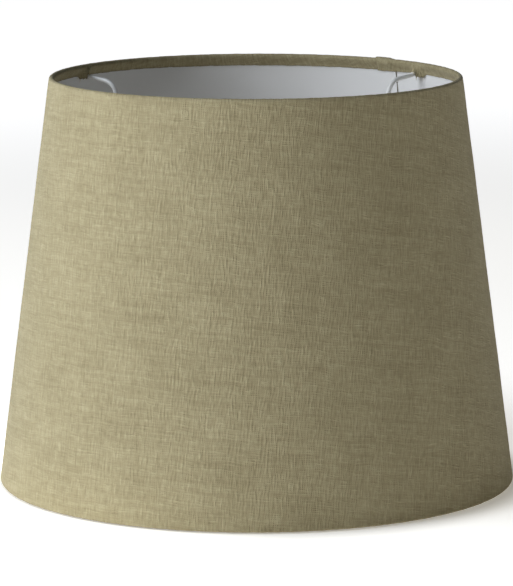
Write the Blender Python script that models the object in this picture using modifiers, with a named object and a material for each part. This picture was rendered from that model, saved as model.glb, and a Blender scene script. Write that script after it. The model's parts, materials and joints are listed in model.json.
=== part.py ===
"""Tapered hardback lamp shade: laminated cloth rolled over two wire rings, on a three-arm drop spider.

Metres, +Z up. The origin is the middle of the circle that the shade stands on. The back of the shade is at +Y.
Angles are measured round +Z from +X, in degrees.
"""

import math

import bmesh
import bpy
from mathutils import Vector

# ---------------------------------------------------------------- driving dimensions
HEIGHT = 0.3310  # table to rim
R_BOTTOM = 0.2100  # outside of the cloth at the table
R_TOP = 0.1667  # outside of the cloth at the top
CLOTH = 0.0005  # linen cloth with its adhesive
SHEET = 0.00035  # plastic liner
TAPE = 0.00015  # seam strip
GAP = 0.0002  # between the laminated layers, which are glued on the real shade
CLEAR = 0.0003  # between any other two pieces that touch
WIRE = 0.0014  # radius of the ring wire
ARM_WIRE = 0.0019  # radius of the arm wire
HEM = 0.0100  # depth of the turned-over band, from the rim

STATIONS = 60  # steps round the shade
ARM_ANGLES = {"spider_arm_right": 36.0, "spider_arm_left": 148.2, "spider_arm_front": 272.1}
SEAM_INNER = 45.2  # where the wrapped sheet begins, on the inside
SEAM_OUTER = 52.9  # where it ends, on the outside
SEAM_RISE = 9.0  # degrees over which the sheet climbs on to its own beginning
SLIT = 0.0046  # width of the slit in the band at each arm
SLIT_TOP = 0.0034  # depth below the rim of the slit's closed end

FITTER_BORE = 0.0210  # radius
FITTER_OUT = 0.0290
FITTER_T = 0.0012
FITTER_SKIRT = 0.0056  # height of the turned-down edge
FITTER_DEPTH = 0.0490  # rim of the shade to the collar's top face
FITTER_SEAT = 0.0004  # how far the seat for the insert's flange is pressed below that face
REDUCER_BORE = 0.0143
REDUCER_FLANGE = 0.0235
REDUCER_FLANGE_T = 0.0016
REDUCER_SPIGOT = 0.0206
REDUCER_LENGTH = 0.0058

# A spider arm's line as (radius, depth below the rim). Its end is welded under the ring and runs down the wall inside
# the turned-over band; it comes out at the band's lower edge, crosses inwards, drops, and runs in to the collar.
ARM_END = ((0.16395, 0.00395), (0.16420, 0.00650), (0.16400, 0.00810), (0.16320, 0.00950), (0.16160, 0.01040))
ARM_CORNER = (0.1394, 0.0141)
ARM_BEND = 0.0059  # from the corner to where the bend begins and ends
ARM_FOOT = (0.1252, 0.0490)
ARM_FOOT_BEND = 0.0055

SLOPE = (R_BOTTOM - R_TOP) / HEIGHT
LAYERS = SHEET + CLOTH + TAPE + 3 * GAP  # how far the outer end of the sheet stands off the inner one
LAP_ROLL = CLOTH + GAP  # the same on the rolls and the bands, where cloth lies on cloth; the shade stands on it


# ---------------------------------------------------------------- helpers
def clear_scene():
    for ob in list(bpy.data.objects):
        bpy.data.objects.remove(ob, do_unlink=True)


def collection(name):
    made = bpy.data.collections.new(name)
    bpy.context.scene.collection.children.link(made)
    return made


def material(name, colour, roughness, metallic=0.0):
    made = bpy.data.materials.new(name)
    made.use_nodes = True
    shader = made.node_tree.nodes["Principled BSDF"]
    shader.inputs["Base Color"].default_value = (*colour, 1.0)
    shader.inputs["Roughness"].default_value = roughness
    shader.inputs["Metallic"].default_value = metallic
    made.diffuse_color = (*colour, 1.0)
    return made


def wall(depth):
    """Outside radius of the cloth at a depth below the rim."""
    return R_TOP + SLOPE * depth


def smooth(t):
    t = min(max(t, 0.0), 1.0)
    return t * t * (3.0 - 2.0 * t)


def stations():
    """Angles of the sheet's sections, from its inner end, once round, to its outer end on top of the inner one."""
    step = 360.0 / STATIONS
    first = math.ceil(SEAM_INNER / step) * step
    turn = [first + k * step for k in range(STATIONS + 8)]
    end = 360.0 + SEAM_OUTER
    angles = [SEAM_INNER] + [a for a in turn if SEAM_INNER + 1.0 < a < end - 1.0] + [end]
    rise = [360.0 + SEAM_INNER - SEAM_RISE * k / 4.0 for k in range(5)]
    kept = [a for a in angles if all(abs(a - r) > 1.0 for r in rise)]
    return sorted(kept + rise)


def lift(angle):
    """How much of the layers' thickness the sheet has climbed: 0 all round, 1 where it lies on its own beginning."""
    return smooth((angle - (360.0 + SEAM_INNER - SEAM_RISE)) / SEAM_RISE)


def ring_centre(top):
    """(radius, height) of a ring's wire, tucked in the corner that the cloth turns round."""
    inset = CLOTH + CLEAR + WIRE
    depth = inset if top else HEIGHT - LAP_ROLL - inset
    return wall(depth) - inset * math.hypot(1.0, SLOPE), HEIGHT - depth


def cloth_line(lifted):
    """Middle line of the cloth's section, from the edge of the top band, over the ring, down the wall, to the edge of the
    bottom band. lifted is 1 where the sheet lies on its own beginning."""
    wall_out = LAYERS * lifted
    roll_out = LAP_ROLL * lifted
    middle = CLOTH / 2.0
    inside = CLOTH + GAP + SHEET + GAP + middle  # the band's middle, in from the cloth's outside
    tilt = math.atan(SLOPE)
    line = []
    for top in (True, False):
        cr, cz = ring_centre(top)
        radius = WIRE + CLEAR + middle + roll_out
        sign = 1.0 if top else -1.0
        half = []
        for depth in (HEM, HEM - 0.0035):
            z = HEIGHT - depth if top else LAP_ROLL + depth
            half.append((wall(HEIGHT - z) - inside - roll_out, z))
        start, stop = math.pi + (0.50 if top else 0.45), sign * tilt
        steps = 6
        for k in range(steps + 1):
            a = start + (stop - start) * k / steps
            half.append((cr + radius * math.cos(a), cz + sign * radius * math.sin(a)))
        z = cz - sign * 0.0016
        half.append((wall(HEIGHT - z) - middle + wall_out, z))
        line += half if top else half[::-1]
    return line


def thicken(line, thickness):
    """Closed outline round an open line: along its outer side and back along its inner side."""
    outer, inner = [], []
    for k, (r, z) in enumerate(line):
        r0, z0 = line[max(k - 1, 0)]
        r1, z1 = line[min(k + 1, len(line) - 1)]
        length = math.hypot(r1 - r0, z1 - z0)
        nr, nz = -(z1 - z0) / length, (r1 - r0) / length
        h = thickness / 2.0
        outer.append((r + nr * h, z + nz * h))
        inner.append((r - nr * h, z - nz * h))
    return outer + inner[::-1]


def loft(name, sections):
    """Skin through closed outlines, each (angle in degrees, [(radius, height), ...]), capped at both ends."""
    bm = bmesh.new()
    rows = []
    for angle, outline in sections:
        c, s = math.cos(math.radians(angle)), math.sin(math.radians(angle))
        rows.append([bm.verts.new((r * c, r * s, z)) for r, z in outline])
    count = len(rows[0])
    for a, b in zip(rows, rows[1:]):
        for k in range(count):
            j = (k + 1) % count
            bm.faces.new((a[k], b[k], b[j], a[j]))
    for row in (rows[0], rows[-1]):
        half = count // 2
        for k in range(half - 1):
            bm.faces.new((row[k], row[k + 1], row[count - 2 - k], row[count - 1 - k]))
    bmesh.ops.recalc_face_normals(bm, faces=bm.faces)
    mesh = bpy.data.meshes.new(name)
    bm.to_mesh(mesh)
    bm.free()
    mesh.shade_smooth()
    mesh.set_sharp_from_angle(angle=math.radians(35.0))
    return mesh


def place(name, mesh, where, mat):
    made = bpy.data.objects.new(name, mesh)
    made.data.materials.append(mat)
    where.objects.link(made)
    return made


def turned(name, profile, steps, where, mat, at=(0.0, 0.0, 0.0), phase=0.0):
    """Solid of revolution: a closed profile of (radius, height), down its outer side, with a Screw modifier."""
    mesh = bpy.data.meshes.new(name)
    count = len(profile)
    c, s = math.cos(phase), math.sin(phase)
    mesh.from_pydata([(r * c, r * s, z) for r, z in profile], [(k, (k + 1) % count) for k in range(count)], [])
    made = place(name, mesh, where, mat)
    made.location = at
    screw = made.modifiers.new("turn", "SCREW")
    screw.axis = "Z"
    screw.angle = math.tau
    screw.steps = screw.render_steps = steps
    screw.use_merge_vertices = True
    screw.merge_threshold = 0.00001
    screw.use_smooth_shade = True
    return made


def wire(name, points, radius, where, mat, cyclic=False):
    curve = bpy.data.curves.new(name, "CURVE")
    curve.dimensions = "3D"
    curve.bevel_depth = radius
    curve.bevel_resolution = 2
    curve.use_fill_caps = True
    spline = curve.splines.new("POLY")
    spline.points.add(len(points) - 1)
    for point, co in zip(spline.points, points):
        point.co = (*co, 1.0)
    spline.use_cyclic_u = cyclic
    spline.use_smooth = True
    made = bpy.data.objects.new(name, curve)
    curve.materials.append(mat)
    where.objects.link(made)
    return made


# ---------------------------------------------------------------- the pieces
def make_cover(parts, cutters, mat):
    sections = [(a, thicken(cloth_line(lift(a)), CLOTH)) for a in stations()]
    cover = place("fabric_cover", loft("fabric_cover", sections), parts, mat)
    # A slit in the top band at each arm, open at the band's lower edge.
    for name, angle in ARM_ANGLES.items():
        bm = bmesh.new()
        bmesh.ops.create_cube(bm, size=1.0)
        out = wall(SLIT_TOP) - CLOTH - GAP - SHEET - GAP / 2.0
        low, high = HEM + 0.002, SLIT_TOP
        deep = 0.010
        tilt = SLOPE
        for v in bm.verts:
            depth = high if v.co.z > 0 else low
            base = out + tilt * (depth - SLIT_TOP)
            v.co = Vector((base if v.co.x > 0 else base - deep, v.co.y * SLIT, HEIGHT - depth))
        mesh = bpy.data.meshes.new("slit_" + name)
        bm.to_mesh(mesh)
        bm.free()
        cutter = bpy.data.objects.new("slit_" + name, mesh)
        cutter.rotation_euler = (0.0, 0.0, math.radians(angle))
        cutter.hide_render = True
        cutter.display_type = "WIRE"
        cutters.objects.link(cutter)
        cut = cover.modifiers.new("slit_" + name, "BOOLEAN")
        cut.operation = "DIFFERENCE"
        cut.solver = "EXACT"
        cut.object = cutter
    return cover


def make_liner(parts, mat):
    """The sheet behind the cloth. It stops short of both rings."""
    short = CLOTH + 2 * CLEAR + 2 * WIRE + CLEAR
    sections = []
    for a in stations():
        out = LAYERS * lift(a)
        outline = []
        for inward in (CLOTH + GAP, CLOTH + GAP + SHEET):
            ends = [HEIGHT - short, LAP_ROLL + short]
            if inward > CLOTH + GAP:
                ends.reverse()
            outline += [(wall(HEIGHT - z) - inward + out, z) for z in ends]
        sections.append((a, outline))
    return place("liner", loft("liner", sections), parts, mat)


def make_seam_tape(parts, mat):
    """Strip between the two ends of the sheet, the full height of the wall between the rolls."""
    sections = []
    low, high = 0.0080, HEIGHT - 0.0080
    span = SEAM_OUTER - SEAM_INNER
    angles = [a - 360.0 for a in stations() if a > 360.0 + SEAM_INNER + 0.1]
    inner = [SEAM_INNER + 0.12 * span] + angles[:-1] + [SEAM_OUTER - 0.12 * span]
    for a in inner:
        outline = []
        for outward in (GAP + TAPE, GAP):
            ends = [high, low]
            if outward == GAP:
                ends.reverse()
            outline += [(wall(HEIGHT - z) + outward, z) for z in ends]
        sections.append((a, outline))
    return place("seam_tape", loft("seam_tape", sections), parts, mat)


def make_rings(parts, mat):
    for name, top in (("top_ring", True), ("bottom_ring", False)):
        r, z = ring_centre(top)
        points = []
        for k in range(STATIONS):
            a = math.tau * k / STATIONS
            points.append((r * math.cos(a), r * math.sin(a), z))
        wire(name, points, WIRE, parts, mat, cyclic=True)


def rounded(before, corner, after, reach, steps=4):
    """Points of a bend at a corner between two straights, starting and ending reach from it."""
    a, c, b = Vector(before), Vector(corner), Vector(after)
    start, stop = c + (a - c).normalized() * reach, c + (b - c).normalized() * reach
    return [tuple(start.lerp(c, t).lerp(c.lerp(stop, t), t)) for t in (k / steps for k in range(steps + 1))]


def arm_line():
    collar = (FITTER_OUT + CLEAR, FITTER_DEPTH + FITTER_SKIRT / 2.0)
    line = list(ARM_END)
    line += rounded(ARM_END[-1], ARM_CORNER, ARM_FOOT, ARM_BEND)
    line += rounded(ARM_CORNER, ARM_FOOT, collar, ARM_FOOT_BEND)
    return line + [collar]


def make_arms(parts, mat):
    for name, angle in ARM_ANGLES.items():
        c, s = math.cos(math.radians(angle)), math.sin(math.radians(angle))
        wire(name, [(r * c, r * s, HEIGHT - d) for r, d in arm_line()], ARM_WIRE, parts, mat)


def make_fitter(parts, mat):
    """Pressed collar: a flat face with a bore, and its outer edge turned down for the arms to meet."""
    top = HEIGHT - FITTER_DEPTH
    corner = 0.0010
    profile = [
        (FITTER_OUT - corner, top),
        (FITTER_OUT - 0.3 * corner, top - 0.3 * corner),
        (FITTER_OUT, top - corner),
        (FITTER_OUT, top - FITTER_SKIRT),
        (FITTER_OUT - FITTER_T, top - FITTER_SKIRT),
        (FITTER_OUT - FITTER_T, top - FITTER_T),
        (FITTER_BORE, top - FITTER_T),
        (FITTER_BORE, top - FITTER_SEAT),
        (REDUCER_FLANGE + 0.0005, top - FITTER_SEAT),
        (REDUCER_FLANGE + 0.0005, top),
    ]
    return turned("fitter_ring", profile, 48, parts, mat)


def make_reducer(parts, mat):
    """Stepped plastic insert: a flange in the collar's seat and a spigot in its bore."""
    under = HEIGHT - FITTER_DEPTH - FITTER_SEAT + CLEAR
    edge = 0.0004
    top = under + REDUCER_FLANGE_T
    low = under + REDUCER_FLANGE_T - REDUCER_LENGTH
    profile = [
        (REDUCER_FLANGE - edge, top),
        (REDUCER_FLANGE, top - edge),
        (REDUCER_FLANGE, under),
        (REDUCER_SPIGOT, under),
        (REDUCER_SPIGOT, low + edge),
        (REDUCER_SPIGOT - edge, low),
        (REDUCER_BORE, low),
        (REDUCER_BORE, top),
    ]
    # The origin is on the joint's axis, at the face that it rests on.
    return turned("reducer_ring", [(r, z - under) for r, z in profile], 48, parts, mat, at=(0.0, 0.0, under))


def main():
    clear_scene()
    parts = collection("lamp_shade")
    cutters = collection("cutters")
    cloth = material("linen_cloth", (0.36, 0.33, 0.21), 0.92)
    sheet = material("white_sheet", (0.82, 0.82, 0.80), 0.55)
    tape = material("seam_strip", (0.86, 0.84, 0.76), 0.70)
    ring_wire = material("ring_coating", (0.83, 0.83, 0.82), 0.42)
    arm_wire = material("arm_coating", (0.84, 0.85, 0.85), 0.38)
    collar = material("collar_coating", (0.84, 0.85, 0.85), 0.40)
    insert = material("insert_plastic", (0.86, 0.86, 0.84), 0.45)
    make_cover(parts, cutters, cloth)
    make_liner(parts, sheet)
    make_seam_tape(parts, tape)
    make_rings(parts, ring_wire)
    make_arms(parts, arm_wire)
    make_fitter(parts, collar)
    make_reducer(parts, insert)


main()
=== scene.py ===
"""Looks of the tapered linen lamp shade: cloth over a rigid sheet, rolled over two wire rings, on a three-arm spider."""

import json
import math

import bmesh
import bpy
import numpy as np
from mathutils import Matrix, Vector

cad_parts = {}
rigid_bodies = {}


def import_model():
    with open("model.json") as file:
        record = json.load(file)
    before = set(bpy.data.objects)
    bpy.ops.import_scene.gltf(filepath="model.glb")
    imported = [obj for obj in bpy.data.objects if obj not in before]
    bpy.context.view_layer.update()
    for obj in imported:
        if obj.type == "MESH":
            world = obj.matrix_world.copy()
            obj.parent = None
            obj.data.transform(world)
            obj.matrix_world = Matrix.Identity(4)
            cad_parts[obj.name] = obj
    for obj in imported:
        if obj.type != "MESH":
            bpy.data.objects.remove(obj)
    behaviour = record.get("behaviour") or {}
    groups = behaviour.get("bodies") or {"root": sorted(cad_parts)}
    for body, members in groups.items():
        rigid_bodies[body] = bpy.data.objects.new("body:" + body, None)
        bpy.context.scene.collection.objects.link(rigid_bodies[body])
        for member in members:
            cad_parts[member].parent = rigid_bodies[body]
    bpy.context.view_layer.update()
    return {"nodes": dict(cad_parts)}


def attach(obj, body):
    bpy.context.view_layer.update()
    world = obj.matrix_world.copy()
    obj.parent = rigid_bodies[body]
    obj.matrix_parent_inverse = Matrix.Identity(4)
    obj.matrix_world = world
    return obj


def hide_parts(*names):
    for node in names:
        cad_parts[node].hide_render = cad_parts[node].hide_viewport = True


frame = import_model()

# ---------------------------------------------------------------- the shape, in metres, as in the CAD part
HEIGHT = 0.3310
R_BOTTOM = 0.2100
R_TOP = 0.1667
CLOTH = 0.00045
SHEET = 0.00030
TAPE = 0.00010
GAP = 0.00005
CLEAR = 0.0003
WIRE = 0.0014
ARM_WIRE = 0.0019
FOOT = 0.0007  # the lowest point of the bottom roll away from the lap
SEAM_INNER = 45.6
SEAM_OUTER = 51.9
SEAM_RISE = 9.0
ARM_ANGLES = {"spider_arm_right": 36.0, "spider_arm_left": 148.2, "spider_arm_front": 272.1}
ARM_END = ((0.16395, 0.00395), (0.16420, 0.00650), (0.16400, 0.00810), (0.16320, 0.00950), (0.16160, 0.01040))
ARM_CORNER = (0.1394, 0.0141)
ARM_FOOT = (0.1252, 0.0490)
FITTER_BORE = 0.0210
FITTER_OUT = 0.0290
FITTER_T = 0.0012
FITTER_SKIRT = 0.0056
FITTER_DEPTH = 0.0490
FITTER_SEAT = 0.0004
REDUCER_BORE = 0.0143
REDUCER_FLANGE = 0.0235
REDUCER_FLANGE_T = 0.0016
REDUCER_SPIGOT = 0.0206
REDUCER_LENGTH = 0.0058

SLOPE = (R_BOTTOM - R_TOP) / HEIGHT
LIFT_WALL = CLOTH + SHEET + TAPE + 3 * GAP
LIFT_ROLL = 0.00105  # the lap on the top roll
LIFT_FOOT = 0.00062  # the lap on the bottom roll
SA = SLOPE / math.hypot(1.0, SLOPE)  # sine of the wall's lean, which is also the flat pattern's angle scale
PATTERN_MID = 229.0  # azimuth of the middle of the flat cut, opposite the seam


def wall(depth):
    return R_TOP + SLOPE * depth


def smooth(t):
    t = np.clip(t, 0.0, 1.0)
    return t * t * (3.0 - 2.0 * t)


def lift(angle):
    return smooth((angle - (360.0 + SEAM_INNER - SEAM_RISE)) / SEAM_RISE)


def roll_lift(angle):
    """The rolls' corners are trimmed at the sheet's inner end, so there the lap climbs later."""
    return smooth((angle - (360.0 + SEAM_INNER - 1.0)) / 3.4)


class Waves:
    """Smooth random curve of one variable: a sum of sines with seeded phases, about unit size."""

    def __init__(self, seed, lengths):
        rng = np.random.default_rng(seed)
        self.f = 1.0 / (np.array(lengths, float) * rng.uniform(0.8, 1.25, len(lengths)))
        self.p = rng.uniform(0, math.tau, len(lengths))
        self.a = rng.uniform(0.6, 1.0, len(lengths))
        self.a /= math.sqrt((self.a**2).sum() / 2.0)

    def __call__(self, x):
        x = np.asarray(x, float)
        return (self.a * np.sin(math.tau * x[..., None] * self.f + self.p)).sum(-1)


# ---------------------------------------------------------------- node helpers
def new_material(name):
    made = bpy.data.materials.new(name)
    made.use_nodes = True
    tree = made.node_tree
    return made, tree, tree.nodes["Principled BSDF"]


def node(tree, kind, **inputs):
    made = tree.nodes.new(kind)
    for key, value in inputs.items():
        if key.startswith("_"):
            setattr(made, key[1:], value)
    return made


def math_node(tree, operation, a, b=None, clamp=False):
    made = tree.nodes.new("ShaderNodeMath")
    made.operation = operation
    made.use_clamp = clamp
    for k, value in enumerate((a, b)):
        if value is None:
            continue
        if isinstance(value, (int, float)):
            made.inputs[k].default_value = value
        else:
            tree.links.new(value, made.inputs[k])
    return made.outputs[0]


def scaled(tree, vector, scale, offset=(0.0, 0.0, 0.0), turn=0.0):
    made = tree.nodes.new("ShaderNodeMapping")
    made.vector_type = "POINT"
    made.inputs["Scale"].default_value = scale
    made.inputs["Location"].default_value = offset
    made.inputs["Rotation"].default_value = (0.0, 0.0, turn)
    tree.links.new(vector, made.inputs["Vector"])
    return made.outputs["Vector"]


def noise(tree, vector, scale=1.0, detail=0.0, roughness=0.5, dims="2D", distortion=0.0):
    made = tree.nodes.new("ShaderNodeTexNoise")
    made.noise_dimensions = dims
    made.inputs["Scale"].default_value = scale
    made.inputs["Detail"].default_value = detail
    made.inputs["Roughness"].default_value = roughness
    made.inputs["Distortion"].default_value = distortion
    tree.links.new(vector, made.inputs["Vector"])
    return made.outputs["Fac"]


def ramp(tree, value, low, high, to_low=0.0, to_high=1.0, kind="SMOOTHSTEP"):
    made = tree.nodes.new("ShaderNodeMapRange")
    made.interpolation_type = kind
    made.inputs["From Min"].default_value = low
    made.inputs["From Max"].default_value = high
    made.inputs["To Min"].default_value = to_low
    made.inputs["To Max"].default_value = to_high
    tree.links.new(value, made.inputs["Value"])
    return made.outputs["Result"]


def mix_colour(tree, factor, a, b):
    made = tree.nodes.new("ShaderNodeMix")
    made.data_type = "RGBA"
    for socket, value in ((made.inputs[0], factor), (made.inputs[6], a), (made.inputs[7], b)):
        if isinstance(value, tuple):
            socket.default_value = (*value, 1.0)
        elif isinstance(value, (int, float)):
            socket.default_value = value
        else:
            tree.links.new(value, socket)
    return made.outputs[2]


def bump(tree, height, strength, distance, normal=None):
    made = tree.nodes.new("ShaderNodeBump")
    made.inputs["Strength"].default_value = strength
    made.inputs["Distance"].default_value = distance
    tree.links.new(height, made.inputs["Height"])
    if normal is not None:
        tree.links.new(normal, made.inputs["Normal"])
    return made.outputs["Normal"]


def attribute(tree, name):
    made = tree.nodes.new("ShaderNodeAttribute")
    made.attribute_name = name
    return made


# ---------------------------------------------------------------- materials
CLOTH_DARK = (0.270, 0.227, 0.126)
CLOTH_MID = (0.365, 0.314, 0.184)
CLOTH_LIGHT = (0.463, 0.407, 0.250)
YARN = 0.00072  # pitch of the threads, both ways


def linen(name, tint=1.0):
    """Plain-weave linen in the flat cut's own coordinates: threads of uneven thickness and shade both ways, slubs, weave."""
    made, tree, shader = new_material(name)
    uv = tree.nodes.new("ShaderNodeUVMap")
    uv.uv_map = "cloth"
    flat = uv.outputs["UV"]
    up = 1.0 / YARN

    # The threads wander a little.
    drift = tree.nodes.new("ShaderNodeTexNoise")
    drift.noise_dimensions = "2D"
    drift.inputs["Scale"].default_value = 45.0
    drift.inputs["Detail"].default_value = 1.0
    tree.links.new(flat, drift.inputs["Vector"])
    shift = tree.nodes.new("ShaderNodeVectorMath")
    shift.operation = "MULTIPLY_ADD"
    shift.inputs[1].default_value = (0.0013, 0.0013, 0.0)
    tree.links.new(drift.outputs["Color"], shift.inputs[0])
    tree.links.new(flat, shift.inputs[2])
    flat = shift.outputs[0]

    # Upright threads (along V) and cross threads (along U), each a fine streak, a broad one and slubs.
    up_fine = noise(tree, scaled(tree, flat, (1 / 0.00145, 1 / 0.0085, 1)), detail=0.8)
    up_long = noise(tree, scaled(tree, flat, (1 / 0.0026, 1 / 0.060, 1), (31.0, 7.0, 0.0)), detail=1.0)
    up_slub = noise(tree, scaled(tree, flat, (1 / 0.0011, 1 / 0.009, 1), (3.0, 77.0, 0.0)))
    cross_fine = noise(tree, scaled(tree, flat, (1 / 0.013, 1 / 0.00125, 1), (11.0, 5.0, 0.0)), detail=1.0)
    cross_long = noise(tree, scaled(tree, flat, (1 / 0.070, 1 / 0.0030, 1), (53.0, 91.0, 0.0)), detail=1.0)
    cross_slub = noise(tree, scaled(tree, flat, (1 / 0.010, 1 / 0.0011, 1), (19.0, 23.0, 0.0)))
    cloud = noise(tree, flat, scale=28.0, detail=3.0, roughness=0.6)
    fleck = noise(tree, flat, scale=700.0, detail=1.0)

    split = tree.nodes.new("ShaderNodeSeparateXYZ")
    tree.links.new(flat, split.inputs[0])
    along_u, along_v = split.outputs[0], split.outputs[1]
    su = math_node(tree, "SINE", math_node(tree, "MULTIPLY", along_u, math.pi * up))
    sv = math_node(tree, "SINE", math_node(tree, "MULTIPLY", along_v, math.pi * up))
    au = math_node(tree, "ABSOLUTE", su)
    av = math_node(tree, "ABSOLUTE", sv)
    over = math_node(tree, "MULTIPLY", math_node(tree, "MULTIPLY", su, sv), 0.5)
    crown = math_node(tree, "ADD", math_node(tree, "MULTIPLY", math_node(tree, "ADD", au, av), 0.5), over)

    def add(*terms):
        total = None
        for source, weight in terms:
            part = math_node(tree, "MULTIPLY", source, weight)
            total = part if total is None else math_node(tree, "ADD", total, part)
        return total

    slubs = math_node(
        tree,
        "ADD",
        ramp(tree, up_slub, 0.66, 0.80),
        ramp(tree, cross_slub, 0.66, 0.80),
        clamp=True,
    )
    # Shade of the threads, 0 dark to 1 light.
    tone = add(
        (up_fine, 0.74),
        (up_long, 0.34),
        (cross_fine, 0.44),
        (cross_long, 0.50),
        (cloud, 0.42),
        (fleck, 0.30),
        (crown, 0.10),
        (slubs, 0.22),
    )
    tone = ramp(tree, tone, 0.96, 1.96, 0.0, 1.0, "LINEAR")
    colours = tree.nodes.new("ShaderNodeValToRGB")
    colours.color_ramp.elements[0].position = 0.0
    colours.color_ramp.elements[1].position = 1.0
    middle = colours.color_ramp.elements.new(0.5)
    for element, value in zip(colours.color_ramp.elements, (CLOTH_DARK, CLOTH_MID, CLOTH_LIGHT)):
        element.color = (*(tint * c for c in value), 1.0)
    tree.links.new(tone, colours.inputs[0])
    # Cut edges are painted darker: partly the raw edge's own dark, partly painted shade along the band's edge and the
    # lap's step.
    wear = attribute(tree, "wear")
    edge = mix_colour(tree, wear.outputs["Fac"], colours.outputs[0], tuple(tint * c * 0.42 for c in CLOTH_DARK))
    tree.links.new(edge, shader.inputs["Base Color"])
    tree.links.new(ramp(tree, tone, 0.0, 1.0, 0.95, 0.82, "LINEAR"), shader.inputs["Roughness"])
    shader.inputs["Specular IOR Level"].default_value = 0.22
    shader.inputs["Sheen Weight"].default_value = 0.16
    shader.inputs["Sheen Roughness"].default_value = 0.45
    shader.inputs["Sheen Tint"].default_value = (0.95, 0.92, 0.80, 1.0)
    height = add((up_fine, 1.45), (up_long, 0.15), (cross_fine, 0.55), (cross_long, 0.20), (slubs, 0.40), (crown, 0.30))
    tree.links.new(bump(tree, height, 0.75, 0.00055), shader.inputs["Normal"])
    return made


def plastic_sheet(name):
    """Satin white sheet, faintly uneven where it is glued to the cloth."""
    made, tree, shader = new_material(name)
    place = tree.nodes.new("ShaderNodeTexCoord").outputs["Object"]
    broad = noise(tree, place, scale=9.0, detail=2.0, dims="3D")
    fine = noise(tree, scaled(tree, place, (1.0, 1.0, 0.45)), scale=420.0, detail=2.0, dims="3D")
    grime = noise(tree, place, scale=38.0, detail=4.0, roughness=0.62, dims="3D")
    colour = mix_colour(tree, ramp(tree, broad, 0.35, 0.65), (0.775, 0.775, 0.772), (0.805, 0.805, 0.802))
    colour = mix_colour(tree, ramp(tree, grime, 0.60, 0.82, 0.0, 0.22), colour, (0.66, 0.65, 0.61))
    # Cut ends are painted dark: their raw edge plus painted shadow along the lap.
    edge = attribute(tree, "wear")
    colour = mix_colour(tree, edge.outputs["Fac"], colour, (0.23, 0.235, 0.23))
    tree.links.new(colour, shader.inputs["Base Color"])
    tree.links.new(ramp(tree, grime, 0.3, 0.8, 0.48, 0.66), shader.inputs["Roughness"])
    shader.inputs["Specular IOR Level"].default_value = 0.35
    height = math_node(tree, "ADD", math_node(tree, "MULTIPLY", fine, 0.10), math_node(tree, "MULTIPLY", broad, 1.0))
    tree.links.new(bump(tree, height, 0.25, 0.0012), shader.inputs["Normal"])
    return made


def powder_coat(name, colour=(0.87, 0.87, 0.85), rough=0.36):
    """White powder coat on steel: orange-peel skin, dull specks, thin spots at random."""
    made, tree, shader = new_material(name)
    place = tree.nodes.new("ShaderNodeTexCoord").outputs["Object"]
    peel = noise(tree, place, scale=1500.0, detail=1.0, dims="3D")
    cloud = noise(tree, place, scale=60.0, detail=3.0, dims="3D")
    specks = noise(tree, place, scale=900.0, detail=2.0, roughness=0.7, dims="3D")
    thin = math_node(tree, "MULTIPLY", ramp(tree, specks, 0.68, 0.80), 0.35)
    base = mix_colour(tree, ramp(tree, cloud, 0.35, 0.7), tuple(c * 0.965 for c in colour), colour)
    base = mix_colour(tree, thin, base, (0.46, 0.46, 0.45))
    tree.links.new(base, shader.inputs["Base Color"])
    tree.links.new(ramp(tree, cloud, 0.3, 0.7, rough - 0.06, rough + 0.10), shader.inputs["Roughness"])
    shader.inputs["Specular IOR Level"].default_value = 0.5
    shader.inputs["Coat Weight"].default_value = 0.18
    shader.inputs["Coat Roughness"].default_value = 0.25
    tree.links.new(bump(tree, peel, 0.35, 0.00012), shader.inputs["Normal"])
    return made


def moulded(name):
    """Off-white moulded plastic: fine spark-eroded grain, faint flow marks."""
    made, tree, shader = new_material(name)
    place = tree.nodes.new("ShaderNodeTexCoord").outputs["Object"]
    grain = noise(tree, place, scale=2600.0, detail=1.0, dims="3D")
    flow = noise(tree, scaled(tree, place, (1.0, 1.0, 0.3)), scale=90.0, detail=2.0, dims="3D", distortion=0.6)
    base = mix_colour(tree, ramp(tree, flow, 0.3, 0.7), (0.80, 0.795, 0.765), (0.86, 0.855, 0.83))
    tree.links.new(base, shader.inputs["Base Color"])
    tree.links.new(ramp(tree, grain, 0.3, 0.7, 0.40, 0.56), shader.inputs["Roughness"])
    shader.inputs["Specular IOR Level"].default_value = 0.5
    shader.inputs["Subsurface Weight"].default_value = 0.0
    tree.links.new(bump(tree, grain, 0.30, 0.00010), shader.inputs["Normal"])
    return made


def paper_tape(name):
    made, tree, shader = new_material(name)
    place = tree.nodes.new("ShaderNodeTexCoord").outputs["Object"]
    fibre = noise(tree, scaled(tree, place, (1.0, 1.0, 0.2)), scale=700.0, detail=3.0, dims="3D")
    base = mix_colour(tree, ramp(tree, fibre, 0.35, 0.7), (0.74, 0.71, 0.61), (0.84, 0.82, 0.74))
    tree.links.new(base, shader.inputs["Base Color"])
    tree.links.new(ramp(tree, fibre, 0.3, 0.7, 0.62, 0.80), shader.inputs["Roughness"])
    tree.links.new(bump(tree, fibre, 0.3, 0.0002), shader.inputs["Normal"])
    return made


LINEN = linen("linen_cloth")
# The loose fibres' cloth is painted 1.85 times lighter: a painted highlight of fibres catching the key light.
LIT_FIBRE_LINEN = linen("linen_fibres_painted_highlight", 1.85)
WHITE_SHEET = plastic_sheet("white_sheet")
ARM_COAT = powder_coat("arm_coating")
RING_COAT = powder_coat("ring_coating", (0.78, 0.78, 0.77), 0.44)
COLLAR_COAT = powder_coat("collar_coating", (0.81, 0.815, 0.82), 0.38)
INSERT_PLASTIC = moulded("insert_plastic")
TAPE_PAPER = paper_tape("seam_strip")


# ---------------------------------------------------------------- mesh helpers
def add_object(name, verts, faces, mat, smooth_shade=True):
    mesh = bpy.data.meshes.new(name)
    mesh.from_pydata([tuple(v) for v in verts], [], faces)
    mesh.validate()
    mesh.update()
    made = bpy.data.objects.new(name, mesh)
    mesh.materials.append(mat)
    bpy.context.scene.collection.objects.link(made)
    if smooth_shade:
        mesh.shade_smooth()
    return made


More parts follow.
